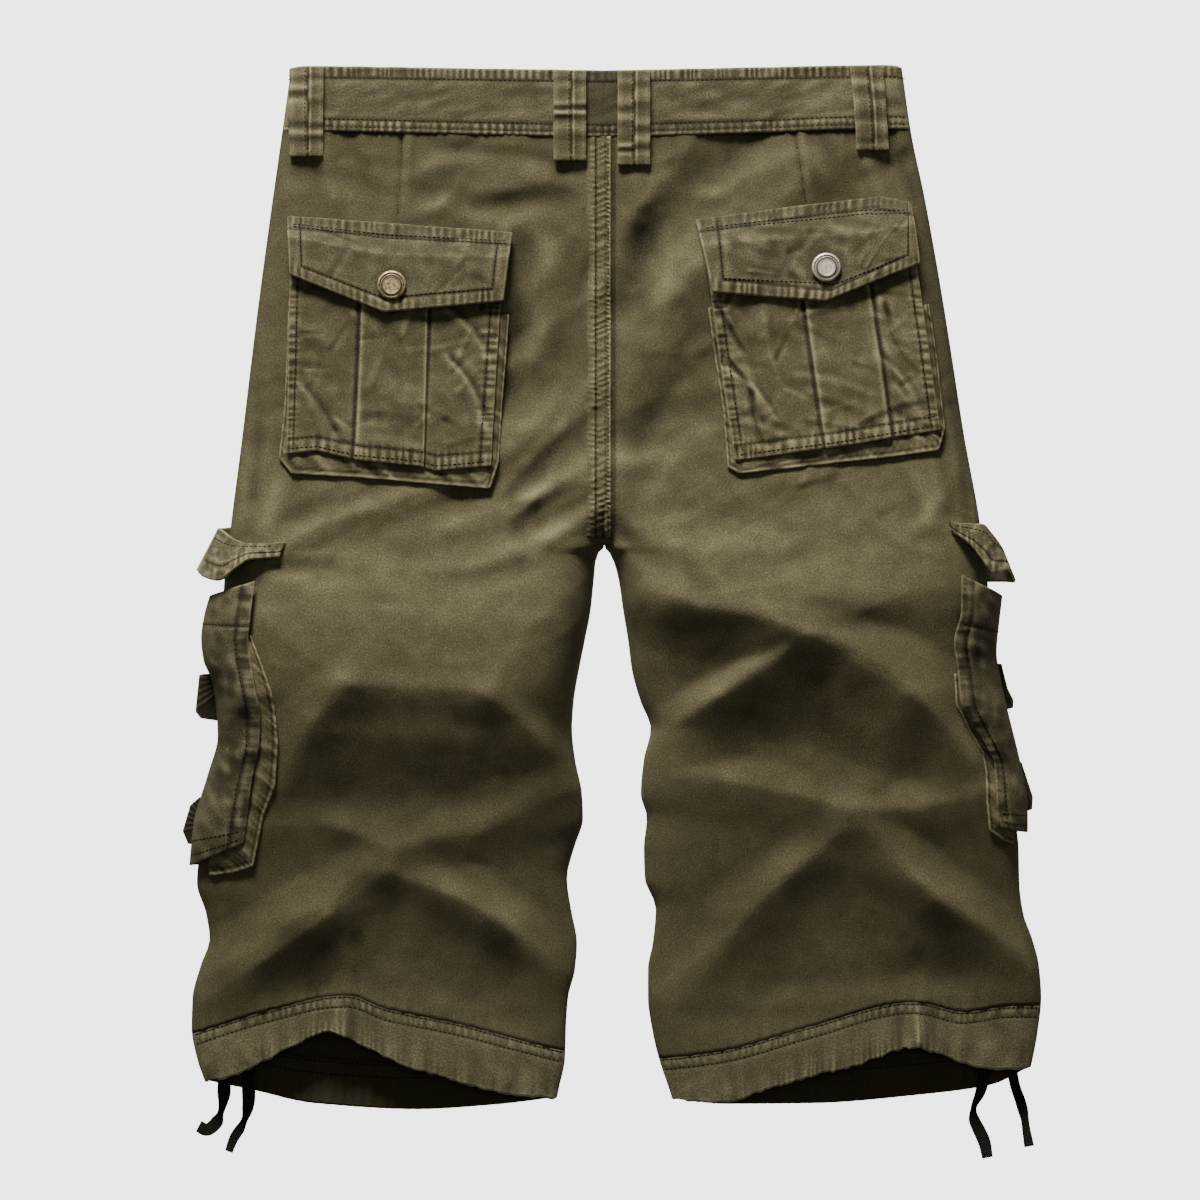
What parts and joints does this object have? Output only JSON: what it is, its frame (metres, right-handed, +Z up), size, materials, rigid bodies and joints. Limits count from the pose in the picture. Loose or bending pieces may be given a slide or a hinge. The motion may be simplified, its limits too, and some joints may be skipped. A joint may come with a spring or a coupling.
{
  "type": "cargo shorts laid flat, back side up",
  "caption": "Olive cotton cargo shorts lying flat, back up, with flapped back pockets, side cargo pockets, belt loops and drawcord hems.",
  "frame": {"origin": "on the surface that the shorts lie on, under the middle of their length and width without the loose drawcord ends", "axes": "+Y from the hems to the waist, +X to the wearer's right, +Z up from the surface; the back of the shorts faces +Z"},
  "size_m": [0.5688, 0.7233, 0.0517],
  "materials": {
    "twill": "garment-washed cotton twill, worn lighter along the seams",
    "twill_double": "two layers of the same twill, topstitched",
    "cord": "flat woven cotton tape, matt",
    "snap_metal": "antique brass with a worn silver face"
  },
  "bodies": {
    "root": {"back_left": "twill", "back_right": "twill", "front_left": "twill", "front_right": "twill", "waistband_left": "twill_double", "waistband_right": "twill_double", "hem_back_left": "twill_double", "hem_back_right": "twill_double", "hem_front_left": "twill_double", "hem_front_right": "twill_double", "belt_loop_side_left": "twill_double", "belt_loop_centre_left": "twill_double", "belt_loop_centre_right": "twill_double", "belt_loop_side_right": "twill_double", "back_pocket_left": "twill", "back_pocket_right": "twill", "back_pocket_gusset_left": "twill", "back_pocket_gusset_right": "twill", "back_pocket_flap_left": "twill_double", "back_pocket_flap_right": "twill_double", "back_pocket_snap_left": "snap_metal", "back_pocket_snap_right": "snap_metal", "cargo_pocket_left": "twill", "cargo_pocket_right": "twill", "cargo_gusset_left": "twill", "cargo_gusset_right": "twill", "cargo_flap_left": "twill_double", "cargo_flap_right": "twill_double", "cargo_tab_upper_left": "twill_double", "cargo_tab_upper_right": "twill_double", "cargo_tab_lower_left": "twill_double", "cargo_tab_lower_right": "twill_double", "drawcord_left_a": "cord", "drawcord_left_b": "cord", "drawcord_right_a": "cord", "drawcord_right_b": "cord", "fly_shield": "twill", "waist_button": "snap_metal"}
  },
  "joints": []
}
